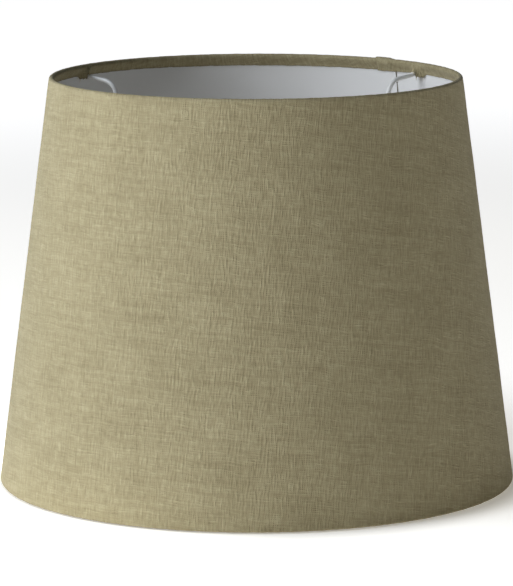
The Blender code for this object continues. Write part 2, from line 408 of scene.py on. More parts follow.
def set_float(mesh, name, values):
    layer = mesh.attributes.new(name, "FLOAT", "POINT")
    layer.data.foreach_set("value", np.asarray(values, np.float32))


def apply_modifiers(obj):
    bpy.context.view_layer.update()
    graph = bpy.context.evaluated_depsgraph_get()
    mesh = bpy.data.meshes.new_from_object(obj.evaluated_get(graph), preserve_all_data_layers=True, depsgraph=graph)
    old = obj.data
    obj.modifiers.clear()
    obj.data = mesh
    mesh.name = old.name
    bpy.data.meshes.remove(old)
    return obj


# ---------------------------------------------------------------- the cover
def columns():
    """Azimuths of the cloth's columns, fine near each slit and at the lap, with a column on each slit's two edges."""
    first, last = SEAM_INNER, 360.0 + SEAM_OUTER
    base = list(np.arange(first, last - 0.5, 0.8)) + [last]
    half = SLIT_HALF
    extra = []
    for a in arm_angles():
        extra += list(np.arange(a - 5.2, a + 5.2, 0.2))
    extra += list(np.arange(396.0, last - 0.5, 0.35)) + list(np.arange(first, first + 1.0, 0.25)) + [last - 0.30, last - 0.12]
    keys = [a + s for a in slit_angles() for s in (-half, half)]
    extra += keys
    kept = []
    for a in sorted(base + extra):
        if any(abs(a - k) < 0.06 for k in keys) and a not in keys:
            continue
        if any(k < a < k + 2 * half for k in keys[::2]) and a not in keys:
            continue
        if kept and a - kept[-1] < 0.07 and a not in keys:
            continue
        kept.append(a)
    return np.array(kept)


def arm_angles():
    return [a if a > SEAM_INNER else a + 360.0 for a in ARM_ANGLES.values()]


def slit_angles():
    return [a + GATHER[name] * SLIT_SIDE for name, a in zip(ARM_ANGLES, arm_angles())]


SLIT_HALF = math.degrees(0.00013 / 0.166)
SLIT_TOP = 0.0036
SLIT_SIDE = 0.45  # degrees from the arm to the slit, on the gathered side
NOTCH = 0.0081  # depth below the rim at which the cloth stops over the wire itself
# On which side of each arm the cut cloth is gathered into a small tongue, as a sign of azimuth.
GATHER = {"spider_arm_right": -1.0, "spider_arm_left": 1.0, "spider_arm_front": 1.0}
BAND_POINTS = ((45.2, 10.2), (60, 10.2), (110, 10.2), (118, 9.9), (126, 9.7), (141, 9.8), (150, 9.6), (175, 9.8), (229, 9.8), (272, 9.3), (320, 9.7), (380, 10.0), (396, 10.0), (403, 10.4), (413, 10.9))
PUCKER_TOP = Waves(11, (2.1, 3.3, 5.2, 9.0))
PUCKER_LOW = Waves(12, (1.7, 2.6, 4.1, 7.0))
TORN = Waves(19, (1.1, 1.9, 3.4))
RAGGED = Waves(13, (0.35, 0.6, 1.0, 2.3, 5.0))
WALL_WAVE = Waves(14, (9.0, 17.0, 31.0))
WALL_WAVE_V = Waves(15, (0.05, 0.09, 0.17))


def band_depth(azimuth, top):
    if top:
        xs, ys = zip(*BAND_POINTS)
        return np.interp(azimuth, xs, ys) * 0.001
    return 0.0098 + 0.0005 * np.sin(np.radians(azimuth) * 2.0 + 1.0)


def beside_slit(azimuth):
    """How far each column is from its nearest arm, in millimetres round the band, positive on the gathered side."""
    out = np.full(len(azimuth), 99.0)
    for name, a in zip(ARM_ANGLES, arm_angles()):
        d = (azimuth - a) * math.radians(1.0) * 166.0 * GATHER[name]
        out = np.where(np.abs(d) < np.abs(out), d, out)
    return out


def hump(x, centre, width):
    return np.exp(-(((x - centre) / width) ** 2))


def section(azimuth):
    """Middle surface of the cloth for every column: rows from the top band's edge, over the ring, down, to the bottom
    band's edge. Returns (radius, height, path, wear), each rows by columns. path is measured down from the rim's cloth."""
    up_wall = lift(azimuth)
    up_roll = roll_lift(azimuth)
    h = CLOTH / 2.0
    inside = 2.0 * GAP + CLOTH + SHEET + h
    tilt = math.atan(SLOPE)
    parts = []
    slit = beside_slit(azimuth)
    for top in (True, False):
        sign = 1.0 if top else -1.0
        inset = 0.0005 + CLEAR + WIRE
        depth0 = inset if top else HEIGHT - FOOT - inset
        cr = wall(depth0) - inset * math.hypot(1.0, SLOPE)
        cz = HEIGHT - depth0
        climb = (LIFT_ROLL if top else LIFT_FOOT) * up_roll
        rho = WIRE + CLEAR + 0.00025 + climb
        pucker = (PUCKER_TOP if top else PUCKER_LOW)(azimuth)
        deep = band_depth(azimuth, top) + RAGGED(azimuth + (0 if top else 400)) * 0.00010
        if top:
            # The cut cloth beside each arm hangs as a small tongue, and is caught up a little over the wire itself.
            flap = smooth((slit + 1.2) / 1.6) * (1.0 - smooth((slit - 7.6) / 4.2))
            deep = deep + flap * (0.0025 + 0.00024 * TORN(slit)) + 0.0009 * hump(slit, -3.0, 2.6)
        base_z = HEIGHT if top else FOOT
        rows = []
        # The band runs straight from the roll's inner side to its own edge on the liner, over the arm where there is one.
        q = math.pi + 0.34
        p1r, p1z = cr + rho * math.cos(q), cz + sign * rho * math.sin(q)
        count = 15
        edge_z = base_z - sign * deep
        edge_r = wall(HEIGHT - edge_z) - inside - climb * 0.7
        m1 = np.array([math.sin(q), -math.cos(q)])
        lean = 0.10 if top else -0.02
        m0 = np.array([-lean, 1.0]) / math.hypot(1.0, lean)
        span = np.hypot(p1r - edge_r, p1z - edge_z)
        crease = Waves(17 if top else 18, (3.0, 4.4, 7.7, 13.0))(azimuth)
        for k in range(count):
            t = k / count
            a, b, c, d = 2 * t**3 - 3 * t**2 + 1, t**3 - 2 * t**2 + t, -2 * t**3 + 3 * t**2, t**3 - t**2
            r = a * edge_r + b * span * m0[0] + c * p1r + d * span * m1[0]
            z = a * edge_z + sign * b * span * m0[1] + c * p1z + sign * d * span * m1[1]
            belly = math.sin(math.pi * t) ** 1.5
            push = belly * (0.00010 * crease + 0.00006 * pucker) + (1 - t) ** 2 * 0.00012 * np.maximum(1.0 + crease, 0.15)
            if top:
                # Over the wire the cloth stands off; the gathered tongue is a soft lump beside it.
                over = 0.16185
                need = np.maximum(r - over, 0.0)
                clear = 1.0 - smooth((HEIGHT - z - 0.0074) / 0.0022)
                push = push + need * np.maximum(hump(slit, 0.2, 2.6), hump(slit, 0.0, 3.4) * 0.8) * np.maximum(clear, 0.35 * hump(slit, 1.6, 2.0))
                # Beside the wire the tongue curls inwards and covers where it comes out.
                curl = smooth((slit - 0.9) / 0.8) * (1.0 - smooth((slit - 2.6) / 4.2))
                push = push + 0.0021 * curl * (1 - t) ** 1.3
                push = push + 0.0018 * hump(slit, 5.4, 4.4) * (1 - t) ** 1.1 * (0.45 + 0.55 * smooth(t / 0.22))
                push = push + (1 - t) ** 1.2 * 0.0005 * flap * TORN(slit * 0.7 + 5.0)
                push = push + 0.0007 * hump(slit, 2.2, 0.6) * smooth(t / 0.2) * (1.0 - smooth((t - 0.75) / 0.2))
            rows.append((r - push, z, t))
        rows.append((p1r - pucker * 0.00003, np.broadcast_to(p1z, r.shape), 1.0))
        steps = 14
        for k in range(1, steps + 1):
            a = q + (sign * tilt - q) * k / steps
            puff = rho + pucker * 0.00006 * math.sin(math.pi * k / steps)
            rows.append((cr + puff * math.cos(a), cz + sign * puff * math.sin(a), 1.0))
        parts.append(rows)
    top_rows, low_rows = parts[0], parts[1][::-1]
    # The wall between the rolls: straight, with the faint unevenness of a sheet rolled by hand.
    z0, z1 = top_rows[-1][1], low_rows[0][1]
    wall_rows = []
    count = 72
    for k in range(1, count):
        t = k / count
        # Rows lie closer near the rolls, where the lap's lift changes.
        t = t + 0.10 * math.sin(2 * math.pi * t) / (2 * math.pi) * -1.0
        z = z0 + (z1 - z0) * t
        depth = HEIGHT - z
        near = np.minimum(depth - 0.0022, z - 0.0029)
        rise = smooth(near / 0.006)
        rolled = (LIFT_ROLL if k < count / 2 else LIFT_FOOT) * up_roll
        out = rolled + (LIFT_WALL * up_wall - rolled) * rise
        wave = WALL_WAVE(azimuth) * WALL_WAVE_V(np.full(len(azimuth), float(np.mean(z)))) * 0.00008 * rise
        wave = np.clip(wave, -0.00003, 0.00012)
        wall_rows.append((wall(depth) - h + out + wave, z, 1.0))
    rows = top_rows + wall_rows + low_rows
    n = len(azimuth)
    r = np.array([np.broadcast_to(x[0], n) for x in rows], float)
    z = np.array([np.broadcast_to(x[1], n) for x in rows], float)
    t = [x[2] for x in rows]
    step = np.hypot(np.diff(r, axis=0), np.diff(z, axis=0))
    path = np.vstack([np.zeros(n), np.cumsum(step, axis=0)])
    anchor = len(top_rows) + 3
    # Distance from the pattern's centre along the cloth.
    reach = (r[anchor] / SA) + (path - path[anchor])
    # The band's cut edges are painted dark: the raw edge plus painted shadow where the band's edge stands off the
    # liner.
    wear = np.zeros_like(r)
    for k, value in enumerate(t):
        if value < 0.12:
            wear[k] = 0.60 * (1.0 - value / 0.12)
    # The sheet's cut end, on the outside of the lap, painted dark: its raw edge plus the painted shadow of the lap's
    # step.
    wear[:, -1] = 0.75
    wear[:, -2] = 0.30
    return r, z, reach, wear, len(top_rows), len(top_rows) + len(wall_rows)


def make_cover():
    azimuth = columns()
    r, z, reach, wear, top_end, low_start = section(azimuth)
    rows, n = r.shape
    slit = beside_slit(azimuth)
    a = np.radians(azimuth)
    # The slit's cut edges spread a little and are ragged; at the closed end they meet the roll.
    depth = HEIGHT - z
    shift = np.zeros_like(r)
    at = np.zeros((rows, n), bool)
    from_cut = np.min([np.abs(azimuth - m) for m in slit_angles()], axis=0)
    edge = np.abs(from_cut - SLIT_HALF) < 0.02
    rag = Waves(21, (0.0007, 0.0013, 0.0031))
    for c in np.nonzero(edge)[0]:
        for k in range(top_end):
            if depth[k, c] > SLIT_TOP:
                shift[k, c] = rag(depth[k, c] + c * 0.37) * 0.00010
    angle = a[None, :] + shift / r
    x, y = r * np.cos(angle), r * np.sin(angle)
    verts = np.stack([x, y, z], -1).reshape(-1, 3)
    faces = []
    middles = [s for s in slit_angles()]
    for k in range(rows - 1):
        for c in range(n - 1):
            mid = 0.5 * (azimuth[c] + azimuth[c + 1])
            least = min(depth[k, c], depth[k + 1, c])
            if k < top_end and least > SLIT_TOP and any(abs(mid - s) < SLIT_HALF * 0.9 for s in middles):
                continue
            # The hole that the wire comes out of.
            if k < 13 and least > NOTCH and abs(slit[c]) < 5.0 and abs(slit[c + 1]) < 5.0 and -1.4 < 0.5 * (slit[c] + slit[c + 1]) < 1.55:
                continue
            # The trimmed corners of the rolls at the sheet's inner end.
            if mid < SEAM_INNER + 2.2 and not top_end - 3 < k < low_start + 2:
                continue
            faces.append((k * n + c, (k + 1) * n + c, (k + 1) * n + c + 1, k * n + c + 1))
    obj = add_object("linen_cover", verts, faces, LINEN)
    mesh = obj.data
    theta = (azimuth - PATTERN_MID) * math.radians(1.0) * SA
    u = reach * np.sin(theta)[None, :]
    v = -reach * np.cos(theta)[None, :]
    v = v - v.mean()
    layer = mesh.uv_layers.new(name="cloth")
    loops = np.zeros(len(mesh.loops), np.int32)
    mesh.loops.foreach_get("vertex_index", loops)
    uv = np.stack([u.reshape(-1)[loops], v.reshape(-1)[loops]], -1)
    layer.data.foreach_set("uv", uv.astype(np.float32).reshape(-1))
    set_float(mesh, "wear", wear.reshape(-1))
    thick = obj.modifiers.new("thickness", "SOLIDIFY")
    thick.thickness = CLOTH
    thick.offset = 0.0
    thick.use_even_offset = False
    thick.use_quality_normals = True
    apply_modifiers(obj)
    obj.data.shade_smooth()
    obj.data.set_sharp_from_angle(angle=math.radians(50.0))
    area = float((np.hypot(np.diff(r, axis=0), np.diff(z, axis=0)) * 0.5 * (r[1:] + r[:-1])).mean(1).sum() * (a[-1] - a[0]))
    return obj, area, (azimuth, r, z, reach)


def sheet_strip(name, azimuths, heights, radius, thickness, mat, edge_wear=0.0):
    """Thin curved sheet between two azimuths; radius(azimuth, height) gives its outer face."""
    az = np.asarray(azimuths)
    hz = np.asarray(heights)
    n, m = len(az), len(hz)
    ang = np.radians(az)
    verts, wear = [], []
    for inward in (0.0, thickness):
        for z in hz:
            rr = radius(az, z) - inward
            verts += list(zip(rr * np.cos(ang), rr * np.sin(ang), np.full(n, z)))
            wear += [0.0] * n
    faces = []
    off = n * m
    for k in range(m - 1):
        for c in range(n - 1):
            q = (k * n + c, k * n + c + 1, (k + 1) * n + c + 1, (k + 1) * n + c)
            faces.append(q)
            faces.append(tuple(off + i for i in q[::-1]))
    for c in range(n - 1):
        faces.append((c + 1, c, off + c, off + c + 1))
        b = (m - 1) * n
        faces.append((b + c, b + c + 1, off + b + c + 1, off + b + c))
    for k in range(m - 1):
        faces.append((k * n, (k + 1) * n, off + (k + 1) * n, off + k * n))
        e = n - 1
        faces.append(((k + 1) * n + e, k * n + e, off + k * n + e, off + (k + 1) * n + e))
    obj = add_object(name, verts, faces, mat)
    set_float(obj.data, "wear", wear)
    obj.data.set_sharp_from_angle(angle=math.radians(40.0))
    return obj


def make_liner():
    short = 0.0005 + 2 * CLEAR + 2 * WIRE + CLEAR
    az = [SEAM_INNER, SEAM_INNER + 0.06] + list(np.arange(SEAM_INNER + 0.9, 395.8, 1.0))
    az = np.array(az + list(np.arange(396.0, 360.0 + SEAM_OUTER - 0.2, 0.5)) + [360.0 + SEAM_OUTER])
    heights = np.linspace(FOOT + short, HEIGHT - short, 34)
    ripple = Waves(31, (14.0, 23.0, 41.0))
    ripple_v = Waves(32, (0.07, 0.13))

    def radius(azimuth, z):
        depth = HEIGHT - z
        near = min(depth - 0.0022, z - 0.0029)
        rise = float(smooth(np.array(near / 0.006)))
        rolled = (LIFT_ROLL if z > HEIGHT / 2 else LIFT_FOOT) * roll_lift(azimuth)
        out = rolled + (LIFT_WALL * lift(azimuth) - rolled) * rise
        wave = (ripple(azimuth) * float(ripple_v(np.array([z]))[0]) - 1.5) * 0.00002
        return wall(depth) - CLOTH - GAP + out + wave

    obj = sheet_strip("white_liner", az, heights, radius, SHEET, WHITE_SHEET)
    # The cut end that shows inside the lap is painted dark: the fabric layer seen in the cut edge plus painted shadow
    # along the lap's edge.
    mesh = obj.data
    layer = mesh.attributes["wear"]
    n = len(az)
    for k in range(len(heights) * 2):
        layer.data[k * n].value = 0.9
    return obj


def make_tape():
    az = np.linspace(SEAM_INNER + 0.7, SEAM_OUTER - 0.7, 14)
    heights = np.linspace(0.0080, HEIGHT - 0.0080, 30)
    return sheet_strip("seam_strip", az, heights, lambda a, z: wall(HEIGHT - z) + GAP + TAPE + 0.0 * a, TAPE, TAPE_PAPER)


# ---------------------------------------------------------------- wires
def rounded(before, corner, after, reach, steps=10):
    a, c, b = (np.array(v, float) for v in (before, corner, after))
    start, stop = c + (a - c) / np.linalg.norm(a - c) * reach, c + (b - c) / np.linalg.norm(b - c) * reach
    out = []
    for k in range(steps + 1):
        t = k / steps
        out.append((1 - t) ** 2 * start + 2 * t * (1 - t) * c + t * t * stop)
    return out


def tube(points, radius, sides, name, mat):
    """Round wire along points, with domed ends. radius may be one number or one per point."""
    pts = [Vector(p) for p in points]
    radii = [radius] * len(pts) if isinstance(radius, float) else list(radius)
    first, last = (pts[1] - pts[0]).normalized(), (pts[-1] - pts[-2]).normalized()
    rings = []
    for f in (0.95, 0.6, 0.2):
        rings.append((pts[0] - first * radii[0] * 0.5 * f, radii[0] * math.sqrt(1 - f * f), first))
    for k, p in enumerate(pts):
        t = (pts[min(k + 1, len(pts) - 1)] - pts[max(k - 1, 0)]).normalized()
        rings.append((p, radii[k], t))
    for f in (0.2, 0.6, 0.95):
        rings.append((pts[-1] + last * radii[-1] * 0.5 * f, radii[-1] * math.sqrt(1 - f * f), last))
    verts, faces = [], []
    side = rings[0][2].orthogonal().normalized()
    for centre, rad, t in rings:
        side = (side - t * side.dot(t)).normalized()
        other = t.cross(side)
        for k in range(sides):
            a = math.tau * k / sides
            verts.append(centre + side * (rad * math.cos(a)) + other * (rad * math.sin(a)))
    for j in range(len(rings) - 1):
        for k in range(sides):
            n = (k + 1) % sides
            faces.append((j * sides + k, j * sides + n, (j + 1) * sides + n, (j + 1) * sides + k))
    faces.append(tuple(range(sides))[::-1])
    faces.append(tuple((len(rings) - 1) * sides + k for k in range(sides)))
    return add_object(name, verts, faces, mat)


def arm_points():
    collar = np.array((FITTER_OUT + CLEAR, FITTER_DEPTH + FITTER_SKIRT / 2.0))
    ends = [np.array(p) for p in ARM_END]
    out = []
    # The end bend, smoothed through its five points.
    for k in range(len(ends) - 1):
        p0, p1, p2, p3 = ends[max(k - 1, 0)], ends[k], ends[k + 1], ends[min(k + 2, len(ends) - 1)]
        for s in range(4):
            t = s / 4.0
            out.append(0.5 * ((2 * p1) + (-p0 + p2) * t + (2 * p0 - 5 * p1 + 4 * p2 - p3) * t**2 + (-p0 + 3 * p1 - 3 * p2 + p3) * t**3))
    out += rounded(ARM_END[-1], ARM_CORNER, ARM_FOOT, 0.0072)
    out += rounded(ARM_CORNER, ARM_FOOT, collar, 0.0062)
    out += [ARM_FOOT + (collar - np.array(ARM_FOOT)) * t for t in (0.3, 0.6, 0.9)]
    out.append(collar)
    return out


def weld(centre, size, seed, name, mat):
    """Small lumpy bead of weld under the coating."""
    bm = bmesh.new()
    bmesh.ops.create_icosphere(bm, subdivisions=3, radius=1.0)
    wave = Waves(seed, (0.9, 1.4, 2.3))
    for v in bm.verts:
        n = v.co.normalized()
        k = 1.0 + 0.06 * float(wave(np.array([n.x * 2 + n.y * 3 + n.z]))[0])
        v.co = Vector((n.x * size[0] * k, n.y * size[1] * k, n.z * size[2] * k))
    mesh = bpy.data.meshes.new(name)
    bm.to_mesh(mesh)
    bm.free()
    mesh.materials.append(mat)
    mesh.shade_smooth()
    obj = bpy.data.objects.new(name, mesh)
    obj.location = centre
    bpy.context.scene.collection.objects.link(obj)
    return obj


def join(objs, name):
    """One object of several meshes."""
    bm = bmesh.new()
    for o in objs:
        part = o.data.copy()
        part.transform(o.matrix_world if o.parent is None else o.matrix_world)
        bm.from_mesh(part)
        bpy.data.meshes.remove(part)
    mesh = bpy.data.meshes.new(name)
    bm.to_mesh(mesh)
    bm.free()
    mesh.materials.append(objs[0].data.materials[0])
    mesh.shade_smooth()
    made = bpy.data.objects.new(name, mesh)
    bpy.context.scene.collection.objects.link(made)
    for o in objs:
        bpy.data.objects.remove(o, do_unlink=True)
    return made


def make_arm(name, angle, seed):
    c, s = math.cos(math.radians(angle)), math.sin(math.radians(angle))
    pts = [(r * c, r * s, HEIGHT - d) for r, d in arm_points()]
    wire = tube(pts, ARM_WIRE * 1.01, 24, name + "_wire", ARM_COAT)
    rr, dd = FITTER_OUT + 0.0004, FITTER_DEPTH + FITTER_SKIRT / 2.0
    bead = weld((0, 0, 0), (0.0018, 0.0032, 0.0025), seed, name + "_weld", ARM_COAT)
    bead.matrix_world = Matrix.Translation((rr * c, rr * s, HEIGHT - dd)) @ Matrix.Rotation(math.radians(angle), 4, "Z")
    bpy.context.view_layer.update()
    return join([wire, bead], name + "_coated")


# ---------------------------------------------------------------- collar and insert
def turned(name, profile, steps, mat, sharp=35.0, at=(0, 0, 0)):
    n = len(profile)
    verts, faces = [], []
    for k in range(steps):
        a = math.tau * k / steps
        c, s = math.cos(a), math.sin(a)
        verts += [(r * c, r * s, z) for r, z in profile]
    for k in range(steps):
        m = (k + 1) % steps
        for j in range(n):
            i = (j + 1) % n
            faces.append((k * n + j, k * n + i, m * n + i, m * n + j))
    obj = add_object(name, verts, faces, mat)
    bm = bmesh.new()
    bm.from_mesh(obj.data)
    bmesh.ops.recalc_face_normals(bm, faces=bm.faces)
    bm.to_mesh(obj.data)
    bm.free()
    obj.data.shade_smooth()
    obj.data.set_sharp_from_angle(angle=math.radians(sharp))
    obj.location = at
    return obj


def arc(cr, cz, rad, a0, a1, steps=5):
    return [(cr + rad * math.cos(math.radians(a0 + (a1 - a0) * k / steps)), cz + rad * math.sin(math.radians(a0 + (a1 - a0) * k / steps))) for k in range(steps + 1)]


def make_collar():
    """Pressed steel collar: rounded turned-down edge, flat face with a pressed seat, its bore's edge broken."""
    top = HEIGHT - FITTER_DEPTH
    t = FITTER_T
    e = 0.00035
    seat_r = REDUCER_FLANGE + 0.0005
    profile = []
    profile += arc(FITTER_OUT - 0.0012, top - 0.0012, 0.0012, 90, 0, 6)
    profile += arc(FITTER_OUT - e, top - FITTER_SKIRT + e, e, 0, -90, 3)
    profile += arc(FITTER_OUT - t + e, top - FITTER_SKIRT + e, e, -90, -180, 3)
    profile += [(FITTER_OUT - t, top - t - 0.0006), (FITTER_OUT - t - 0.0006, top - t)]
    profile += arc(FITTER_BORE + 0.0003, top - t + 0.0003, 0.0003, -90, -180, 3)
    profile += arc(FITTER_BORE + 0.0003, top - FITTER_SEAT - 0.0003, 0.0003, 180, 90, 3)
    profile += [(seat_r - 0.0003, top - FITTER_SEAT), (seat_r, top - FITTER_SEAT + 0.0001), (seat_r + 0.0003, top)]
    return turned("collar", profile, 120, COLLAR_COAT, 40.0)


def make_insert():
    """Moulded insert: rounded flange with a shallow ring, a spigot with eight upright ribs, and four webs across the
    spigot's hollow.
    """
    under = HEIGHT - FITTER_DEPTH - FITTER_SEAT + CLEAR
    top = under + REDUCER_FLANGE_T
    low = top - REDUCER_LENGTH
    e = 0.0004
    rf, rs, rb = REDUCER_FLANGE, REDUCER_SPIGOT - 0.0003, REDUCER_BORE
    profile = arc(rf - e, top - e, e, 90, 0, 4)
    profile += [(rf, under + 0.0002), (rf - 0.0002, under), (rs, under)]
    profile += arc(rs - e, low + e, e, 0, -90, 3)
    profile += arc(rs - 0.0012 + 0.0002, low + 0.0002, 0.0002, -90, -180, 2)
    profile += [(rs - 0.0012, top - 0.0022), (rs - 0.0016, top - 0.0016)]
    profile += [(rb + 0.0014, top - 0.0016), (rb + 0.0010, top - 0.0022)]
    profile += arc(rb + 0.0010 - 0.0002, low + 0.0002, 0.0002, 0, -90, 2)
    profile += arc(rb + 0.0003, low + 0.0003, 0.0003, -90, -180, 3)
    profile += arc(rb + e, top - e, e, 180, 90, 4)
    profile += [(rb + 0.0022, top), (rb + 0.0025, top - 0.0003), (rb + 0.0033, top - 0.0003), (rb + 0.0036, top)]
    body = turned("insert_body", profile, 144, INSERT_PLASTIC, 38.0)
    ribs = []
    for k in range(8):
        a = math.radians(22.5 + 45.0 * k)
        rib = rib_block((rs - 0.0002, rs + 0.0003), 0.0009, (low + 0.0006, under - 0.0001), "insert_rib")
        rib.matrix_world = Matrix.Rotation(a, 4, "Z")
        ribs.append(rib)
    for k in range(4):
        a = math.radians(90.0 * k)
        rib = rib_block((rb + 0.0009, rs - 0.0011), 0.0009, (low + 0.0004, top - 0.0014), "insert_web")
        rib.matrix_world = Matrix.Rotation(a, 4, "Z")
        ribs.append(rib)
    bpy.context.view_layer.update()
    made = join([body] + ribs, "insert")
    made.data.set_sharp_from_angle(angle=math.radians(38.0))
    return made


def rib_block(radii, width, heights, name):
    bm = bmesh.new()
    bmesh.ops.create_cube(bm, size=1.0)
    for v in bm.verts:
        v.co = Vector((radii[1] if v.co.x > 0 else radii[0], v.co.y * width, heights[1] if v.co.z > 0 else heights[0]))
    bmesh.ops.bevel(bm, geom=list(bm.edges), offset=0.00012, segments=2, affect="EDGES", profile=0.6)
    mesh = bpy.data.meshes.new(name)
    bm.to_mesh(mesh)
    bm.free()
    mesh.materials.append(INSERT_PLASTIC)
    obj = bpy.data.objects.new(name, mesh)
    bpy.context.scene.collection.objects.link(obj)
    return obj


# ---------------------------------------------------------------- loose threads
def make_threads(where):
    """Cut ends of threads at the slits and along the band's edge, as one mesh of fine tapered fibres."""
    rng = np.random.default_rng(77)
    azimuth, r, z, _ = where
    verts, faces = [], []

    def fibre(start, direction, length, rad, droop):
        pts = []
        d = np.array(direction, float)
        d /= np.linalg.norm(d)
        p = np.array(start, float)
        n = 7
        bend = rng.normal(0, 0.35, 3)
        for k in range(n):
            pts.append(p.copy())
            d = d + bend * 0.22 + np.array([0, 0, -droop])
            d /= np.linalg.norm(d)
            p = p + d * length / (n - 1)
        sides = 5
        t = d
        ref = np.array([0.3, 0.8, 0.5])
        for k, q in enumerate(pts):
            tt = pts[min(k + 1, n - 1)] - pts[max(k - 1, 0)]
            tt /= np.linalg.norm(tt)
            s = np.cross(tt, ref)
            s /= np.linalg.norm(s)
            o = np.cross(tt, s)
            rr = rad * (1.0 - 0.75 * (k / (n - 1)) ** 1.5)
            for j in range(sides):
                a = math.tau * j / sides
                verts.append(tuple(q + s * rr * math.cos(a) + o * rr * math.sin(a)))
        base = len(verts) - n * sides
        for k in range(n - 1):
            for j in range(sides):
                m = (j + 1) % sides
                faces.append((base + k * sides + j, base + k * sides + m, base + (k + 1) * sides + m, base + (k + 1) * sides + j))
        faces.append(tuple(base + j for j in range(sides))[::-1])
        faces.append(tuple(base + (n - 1) * sides + j for j in range(sides)))

    def band_point(az, depth):
        """Inner face of the top band at an azimuth and a depth."""
        c = int(np.argmin(np.abs(azimuth - az)))
        d = HEIGHT - z[:16, c]
        rr = np.interp(depth, d[::-1], r[:16, c][::-1])
        return rr - CLOTH * 0.55

    for arm_name, arm in zip(ARM_ANGLES, slit_angles()):
        gather = GATHER[arm_name]
        for side in (-1, 1):
            for _ in range(11):
                depth = rng.uniform(0.0048, 0.0100)
                az = arm + side * (SLIT_HALF + 0.02)
                rad = band_point(az, depth)
                a = math.radians(az)
                start = (rad * math.cos(a), rad * math.sin(a), HEIGHT - depth)
                inward = np.array([-math.cos(a), -math.sin(a), 0.0])
                round_ = np.array([-math.sin(a), math.cos(a), 0.0]) * -side
                direction = inward * rng.uniform(0.1, 0.7) + round_ * rng.uniform(0.3, 1.0) + np.array([0, 0, rng.uniform(-0.6, 0.3)])
                fibre(start, direction, rng.uniform(0.0008, 0.0026), rng.uniform(0.00006, 0.00012), 0.10)
        # The frayed edge of the slit: fibres lying down along it, and a few that hang past the band.
        for j in range(14):
            az = arm + gather * (SLIT_HALF + 0.02 + 0.08 * (j % 3))
            depth = 0.0042 + 0.0062 * (j + 0.5) / 14.0
            rad = band_point(az, depth) - 0.0002
            a = math.radians(az)
            start = (rad * math.cos(a), rad * math.sin(a), HEIGHT - depth)
            sideways = np.array([-math.sin(a), math.cos(a), 0.0]) * gather
            direction = np.array([-math.cos(a), -math.sin(a), 0.0]) * rng.uniform(0.15, 0.45) + sideways * rng.uniform(-0.95, 0.15) + np.array([0, 0, -1.0])
            fibre(start, direction, rng.uniform(0.0018, 0.0036), rng.uniform(0.00014, 0.00024), 0.10)
        for _ in range(9):
            az = arm + gather * rng.uniform(-0.6, 3.4)
            depth = float(np.interp(az, azimuth, HEIGHT - z[0])) - 0.0002
            rad = band_point(az, depth)
            a = math.radians(az)
            start = (rad * math.cos(a), rad * math.sin(a), HEIGHT - depth)
            direction = np.array([-math.cos(a), -math.sin(a), 0]) * rng.uniform(0.1, 0.5) + np.array([rng.normal(0, 0.4), rng.normal(0, 0.4), -1.0])
            fibre(start, direction, rng.uniform(0.0010, 0.0042), rng.uniform(0.00006, 0.00013), 0.12)
    for _ in range(260):
        az = rng.uniform(SEAM_INNER + 1.0, 412.0)
        depth = float(np.interp(az, azimuth, HEIGHT - z[0])) - 0.0001
        rad = band_point(az, depth)
        a = math.radians(az)
        start = (rad * math.cos(a), rad * math.sin(a), HEIGHT - depth)
        direction = np.array([-math.cos(a), -math.sin(a), 0]) * rng.uniform(0.0, 0.35) + np.array([rng.normal(0, 0.5), rng.normal(0, 0.5), -1.0])
        fibre(start, direction, rng.uniform(0.0003, 0.0012), rng.uniform(0.00005, 0.00009), 0.05)
    obj = add_object("loose_threads", verts, faces, LIT_FIBRE_LINEN)
    layer = obj.data.uv_layers.new(name="cloth")
    loops = np.zeros(len(obj.data.loops), np.int32)
    obj.data.loops.foreach_get("vertex_index", loops)
    co = np.array(verts)
    layer.data.foreach_set("uv", (co[loops][:, :2]).astype(np.float32).reshape(-1))
    set_float(obj.data, "wear", np.zeros(len(verts)))
    return obj


# ---------------------------------------------------------------- build
cover, cloth_area, where = make_cover()
liner = make_liner()
tape = make_tape()
threads = make_threads(where)
arms = {name: make_arm(name, angle, 50 + k) for k, (name, angle) in enumerate(ARM_ANGLES.items())}
collar = make_collar()
insert = make_insert()

for piece, body, cad, slot in (
    (cover, "shade", "fabric_cover", "linen_cloth"),
    (liner, "shade", "liner", "white_sheet"),
    (tape, "shade", "seam_tape", "seam_strip"),
    (threads, "shade", None, "linen_cloth"),
    (collar, "shade", "fitter_ring", "white_coating"),
    (insert, "reducer", "reducer_ring", "insert_plastic"),
):
    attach(piece, body)
    if cad:
        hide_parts(cad)
for name, arm in arms.items():
    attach(arm, "shade")
    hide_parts(name)
for name in ("top_ring", "bottom_ring"):
    ring = frame["nodes"][name]
    ring.data.materials.clear()
    ring.data.materials.append(RING_COAT)

